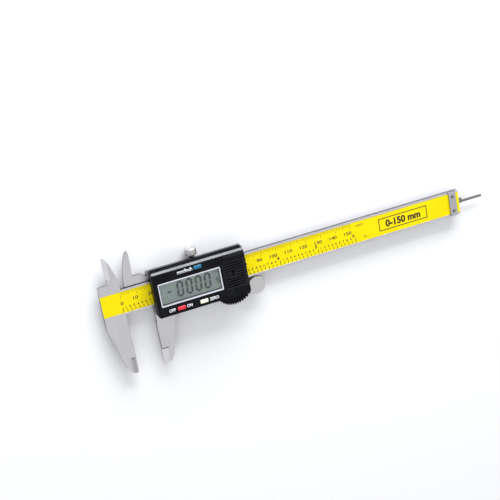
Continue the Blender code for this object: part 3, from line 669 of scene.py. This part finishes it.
def add_battery_cover(plastic, shadow):
    """The battery cover: ribs along X, cut short round a sunk mark, on a thin slab with side tongues."""
    low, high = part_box("battery_cover")
    field_low = Vector((low.x + 0.8 * MM, low.y + TONGUE_WIDTH))
    field_high = Vector((high.x - 2.0 * MM, high.y - TONGUE_WIDTH))
    middle = Vector(((low.x + high.x) / 2, (field_low.y + field_high.y) / 2))
    centre = middle + Vector((-1.3 * MM, 0.35 * MM))
    row_count = RIB_COUNT * RIB_STEPS
    step = (field_high.y - field_low.y) / row_count
    rows = [field_low.y + step * index for index in range(row_count + 1)]
    slope = 0.25 * MM
    mark = [centre.x + offset * MM for offset in (-2.2, -2.0, -0.7, -0.5, 0.5, 0.7, 2.0, 2.2)]
    ends = [field_high.x - slope, field_high.x, high.x]
    columns = [low.x, field_low.x, field_low.x + slope] + mark + ends
    shape = bmesh.new()
    grid = []
    for y in rows:
        falls = [rib_fall(x, y, field_low, field_high, centre) for x in columns]
        grid.append([shape.verts.new((x, y, high.z - fall)) for x, fall in zip(columns, falls)])
    for lower, upper in zip(grid, grid[1:]):
        for index in range(len(columns) - 1):
            shape.faces.new((lower[index], lower[index + 1], upper[index + 1], upper[index]))
    close_slab(shape, low.z)
    tongue_top = low.z + TONGUE_HEIGHT
    overlap = 0.02 * MM
    block(shape, low, (high.x, field_low.y + overlap, tongue_top))
    block(shape, (low.x, field_high.y - overlap, low.z), (high.x, high.y, tongue_top))
    name = "battery_cover_ribbed"
    cover = new_piece(name, shape, plastic, "battery_door", "black_plastic", "battery_cover")
    # Painted shade: faces sunk deep between the ribs, and the mark's deep bar, get the near-black shadow
    # material.
    lowest, highest = high.z - 1.02 * RIB_DEPTH, high.z - 0.4 * RIB_DEPTH
    finish_faces(cover, shadow, lambda face: lowest < face.center.z < highest)
    cover.data.set_sharp_from_angle(angle=math.radians(40))


def close_slab(shape, bottom):
    """Turns an open sheet into a closed slab with a flat underside."""
    border = [edge for edge in shape.edges if edge.is_boundary]
    walls = bmesh.ops.extrude_edge_only(shape, edges=border)
    for item in walls["geom"]:
        if isinstance(item, bmesh.types.BMVert):
            item.co.z = bottom
    bmesh.ops.contextual_create(shape, geom=[edge for edge in shape.edges if edge.is_boundary])
    bmesh.ops.recalc_face_normals(shape, faces=shape.faces)
    for face in shape.faces:
        face.smooth = True


def finish_faces(piece, material, chosen):
    """Gives the faces that pass a test a finish of their own."""
    piece.data.materials.append(material)
    index = len(piece.data.materials) - 1
    for face in piece.data.polygons:
        if chosen(face):
            face.material_index = index


def on_top_bevel(face):
    """True for the long bevel along the module's top edge."""
    return face.normal.y > 0.6 and face.normal.z > 0.6


def on_top_wall(face):
    """True for the module's upright wall on the +Y side."""
    return face.normal.y > 0.9


def in_grip_groove(face):
    """True for the sides and floors of the thumb grip's grooves, which get painted shade."""
    x, y, z = face.center
    start = COVER_LOW.y + GRIP_DEPTH_Y
    slope = COVER_HIGH.z - (start - y) * GRIP_FALL
    inside = x > GRIP_LEFT_X and y < start and GRIP_FLOOR_Z < z < slope - 0.2 * MM
    return inside and (abs(face.normal.x) > 0.7 or face.normal.z > 0.7)


def add_cover_print(white):
    """The words beside the buttons, printed on the cover's face."""
    shape = bmesh.new()
    z = COVER_HIGH.z
    red_low, red_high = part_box("power_button")
    blue_low, blue_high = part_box("unit_button")
    cream_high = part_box("zero_button")[1]
    low_row = (red_low.y + red_high.y) / 2
    high_row = (blue_low.y + blue_high.y) / 2
    words = [
        ("OFF", red_low.x - 0.8 * MM, low_row, 2.0 * MM, "RIGHT", 0.92),
        ("ON", red_high.x + 0.3 * MM, low_row, 2.0 * MM, "LEFT", 0.9),
        ("ZERO", cream_high.x + 0.5 * MM, low_row, 2.0 * MM, "LEFT", 0.88),
        ("mm/inch", blue_low.x - 0.35 * MM, high_row, 2.4 * MM, "RIGHT", 0.9),
    ]
    for text, x, y, height, align, stretch in words:
        lettering(shape, text, (x, y, z), height, align, stretch, weight=0.035)
    new_piece("cover_print", shape, white, "slider", "black_plastic")


def segment(start, end, half, gap):
    """The outline of one display segment from start to end, with pointed ends."""
    start, end = Vector(start), Vector(end)
    along = (end - start).normalized()
    side = Vector((-along.y, along.x)) * half
    start = start + along * gap
    end = end - along * gap
    near = start + along * half
    far = end - along * half
    return [start, near - side, far - side, end, far + side, near + side]


def digit_outlines(left, bottom, size, stroke, lit, slant=0.06):
    """The lit segments of a seven-segment digit, named a to g, in millimetres."""
    half = stroke / 2
    width, height = size
    x0, x1 = left + half, left + width - half
    y0, y2 = bottom + half, bottom + height - half
    y1 = (y0 + y2) / 2
    ends = {
        "a": ((x0, y2), (x1, y2)),
        "b": ((x1, y1), (x1, y2)),
        "c": ((x1, y0), (x1, y1)),
        "d": ((x0, y0), (x1, y0)),
        "e": ((x0, y0), (x0, y1)),
        "f": ((x0, y1), (x0, y2)),
        "g": ((x0, y1), (x1, y1)),
    }
    outlines = []
    for name in lit:
        start, end = ends[name]
        outline = segment(start, end, half, 0.05)
        outlines.append([(point.x + slant * (point.y - bottom), point.y) for point in outline])
    return outlines


def add_display_gasket():
    """Painted shadow: a dark frame between the display and its silver ring, under the lens, in place of the
    ring's shadow on the display; its lower side is wider.
    """
    shape = bmesh.new()
    low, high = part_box("window_lens")
    bottom, top = PANEL_Z + 0.01 * MM, PANEL_Z + RING_SHADOW_HEIGHT
    inner_low = Vector((low.x + RING_SHADOW_WIDTH, low.y + 1.4 * RING_SHADOW_WIDTH))
    inner_high = Vector((high.x - RING_SHADOW_WIDTH, high.y - RING_SHADOW_WIDTH))
    block(shape, (low.x, low.y, bottom), (high.x, inner_low.y, top))
    block(shape, (low.x, inner_high.y, bottom), (high.x, high.y, top))
    block(shape, (low.x, inner_low.y, bottom), (inner_low.x, inner_high.y, top))
    block(shape, (inner_high.x, inner_low.y, bottom), (high.x, inner_high.y, top))
    frame_shade = moulded_plastic("frame_shade_grey", (0.07, 0.08, 0.08), 0.6, 0.6)
    new_piece("display_ring_shadow", shape, frame_shade, "slider", "rubber_grey")


def add_outlines(shape, outlines):
    """Adds flat outlines, in millimetres from the sliding jaw's edge and the middle line, on the display."""
    low = PANEL_Z + 0.01 * MM
    for outline in outlines:
        points = [(JAW_X + x * MM, CENTRE_Y + y * MM) for x, y in outline]
        prism(shape, points, low, low + INK_HEIGHT)


def add_display_digits():
    """A minus sign, four zeros and a small five, as the display shows them, and a millimetre mark."""
    shape = bmesh.new()
    faint = bmesh.new()
    for left in DIGIT_LEFTS:
        add_outlines(shape, digit_outlines(left, DIGIT_BOTTOM, DIGIT_SIZE, DIGIT_STROKE, "abcdef"))
        add_outlines(faint, digit_outlines(left, DIGIT_BOTTOM, DIGIT_SIZE, GHOST_STROKE, "g"))
    add_outlines(shape, digit_outlines(*SMALL_DIGIT_PLACE, SMALL_DIGIT_SIZE, SMALL_DIGIT_STROKE, "acdfg"))
    add_outlines(shape, [segment((8.7, 0.4), (11.4, 0.4), 0.6, 0.0)])
    unit_place = (JAW_X + 40.6 * MM, CENTRE_Y + 4.6 * MM, PANEL_Z + 0.01 * MM)
    lettering(shape, "mm", unit_place, 1.2 * MM, stretch=1.1)
    dark = printed_ink("display_dark", (0.05, 0.065, 0.06), 0.4)
    ghost = printed_ink("display_ghost", (0.31, 0.36, 0.33), 0.4)
    new_piece("display_digits", shape, dark, "slider", "display_grey")
    new_piece("display_ghosts", faint, ghost, "slider", "display_grey")


def dress_shell():
    """The module's moulded cover, its port cover and the ribbed battery cover."""
    black = moulded_plastic("moulded_black", (0.0045, 0.0048, 0.0068), 0.42, 0.4, 0.08)
    door = moulded_plastic("door_black", (0.0045, 0.0048, 0.007), 0.38, 0.4, 0.24)
    ribs = moulded_plastic("rib_black", (0.006, 0.0064, 0.0088), 0.38, 0.4, 0.18)
    # Painted shade: a near-black copy of the plastic for the grooves of the thumb grip and the battery cover,
    # standing for the shade in them.
    groove = moulded_plastic("groove_painted_shade", (0.0012, 0.0012, 0.0018), 0.55, 0.5, 0.05)
    gloss = moulded_plastic("polished_bevel", (0.006, 0.006, 0.008), 0.22, 0.15, 0.5)
    wall = moulded_plastic("wall_black", (0.009, 0.0095, 0.012), 0.6, 0.5, 0.0)
    shell = softened("cover_shell", black, "slider", "black_plastic", 0.1)
    port = softened("port_cover", door, "port_door", "black_plastic", 0.1)
    for piece in (shell, port):
        finish_faces(piece, gloss, on_top_bevel)
        finish_faces(piece, wall, on_top_wall)
    # The thumb grip's grooves get the painted shade.
    finish_faces(shell, groove, in_grip_groove)
    add_battery_cover(ribs, groove)
    dress("module_base", black)


def dress_buttons():
    """The red, cream and blue keys."""
    looks = {
        "power": ("button_red", (0.86, 0.02, 0.045)),
        "zero": ("button_cream", (0.93, 0.92, 0.66)),
        "unit": ("button_blue", (0.003, 0.15, 0.27)),
    }
    for name, (slot, colour) in looks.items():
        plastic = moulded_plastic(name + "_key_plastic", colour, 0.36, 0.4)
        softened(name + "_button", plastic, name + "_key", slot, 0.2, 3)


def dress_module():
    """The display module: its case and keys, its window and display, and the electronics inside."""
    dress_shell()
    softened("window_frame", silver_paint("ring_silver"), "slider", "frame_silver", 0.15)
    dress("window_lens", clear_lens("clear_lens"))
    dress("lcd_panel", display_glass("display_glass"))
    board = circuit_board("green_board")
    for name in ("circuit_board", "port_contact_board"):
        dress(name, board)
    dress("controller_chip", moulded_plastic("chip_epoxy", (0.012, 0.012, 0.012), 0.35, 0.4))
    rubber = moulded_plastic("zebra_rubber", (0.2, 0.2, 0.22), 0.7, 0.8)
    for side in ("upper", "lower"):
        dress("zebra_strip_" + side, rubber)
    dress_buttons()
    add_cover_print(printed_ink("white_print", (0.88, 0.88, 0.93)))
    add_display_digits()
    add_display_gasket()


# ---- studio ----


def add_floor():
    """A wide pale floor just under the back plate."""
    mesh = bpy.data.meshes.new("floor")
    shape = bmesh.new()
    bmesh.ops.create_grid(shape, x_segments=1, y_segments=1, size=FLOOR_HALF_SIZE)
    shape.to_mesh(mesh)
    shape.free()
    mesh.materials.append(paper_floor("studio_floor"))
    floor = bpy.data.objects.new("floor", mesh)
    floor.location.z = REST_Z - 0.02 * MM
    bpy.context.scene.collection.objects.link(floor)


def add_light(name, place, target, size, power, tint=(1.0, 1.0, 1.0)):
    """A rectangular soft light at a place, turned to a target."""
    data = bpy.data.lights.new(name, "AREA")
    data.color = tint
    data.shape = "RECTANGLE"
    data.size, data.size_y = size
    data.energy = power
    light = bpy.data.objects.new(name, data)
    light.location = place
    aim = Vector(target) - Vector(place)
    light.rotation_euler = aim.to_track_quat("-Z", "Y").to_euler()
    bpy.context.scene.collection.objects.link(light)


def add_studio():
    """An even pale room, a wide light overhead, one from the left and one low behind for the top bevel."""
    world = bpy.data.worlds.new("studio")
    world.use_nodes = True
    background = world.node_tree.nodes["Background"]
    background.inputs["Color"].default_value = rgb(0.96, 0.97, 1.0)
    background.inputs["Strength"].default_value = 0.6
    bpy.context.scene.world = world
    middle = (0.08, 0.03, 0.0)
    add_light("overhead", (0.3, -0.4, 1.1), middle, (1.5, 1.3), 2.0)
    add_light("left", (-0.75, -0.42, 0.85), middle, (1.0, 1.2), 2.2, (0.95, 0.96, 1.0))
    add_light("low_key", (0.34, 0.93, 0.345), middle, (0.9, 0.4), 15.0, (0.92, 0.94, 1.0))
    bpy.context.scene.view_settings.view_transform = "Standard"


def add_camera():
    """The camera that looks from the photograph's place and angle."""
    data = bpy.data.cameras.new("photo_view")
    data.lens = CAMERA_LENS
    data.sensor_width = 36.0
    camera = bpy.data.objects.new("photo_view", data)
    back = -Vector(CAMERA_SIGHT).normalized()
    right = Vector(CAMERA_UP).cross(back).normalized()
    up = back.cross(right)
    turn = Matrix((right, up, back)).transposed()
    camera.matrix_world = Matrix.Translation(CAMERA_PLACE) @ turn.to_4x4()
    bpy.context.scene.collection.objects.link(camera)
    bpy.context.scene.camera = camera


add_camera()
dress_beam()
dress_slider_metal()
dress_module()
add_floor()
add_studio()
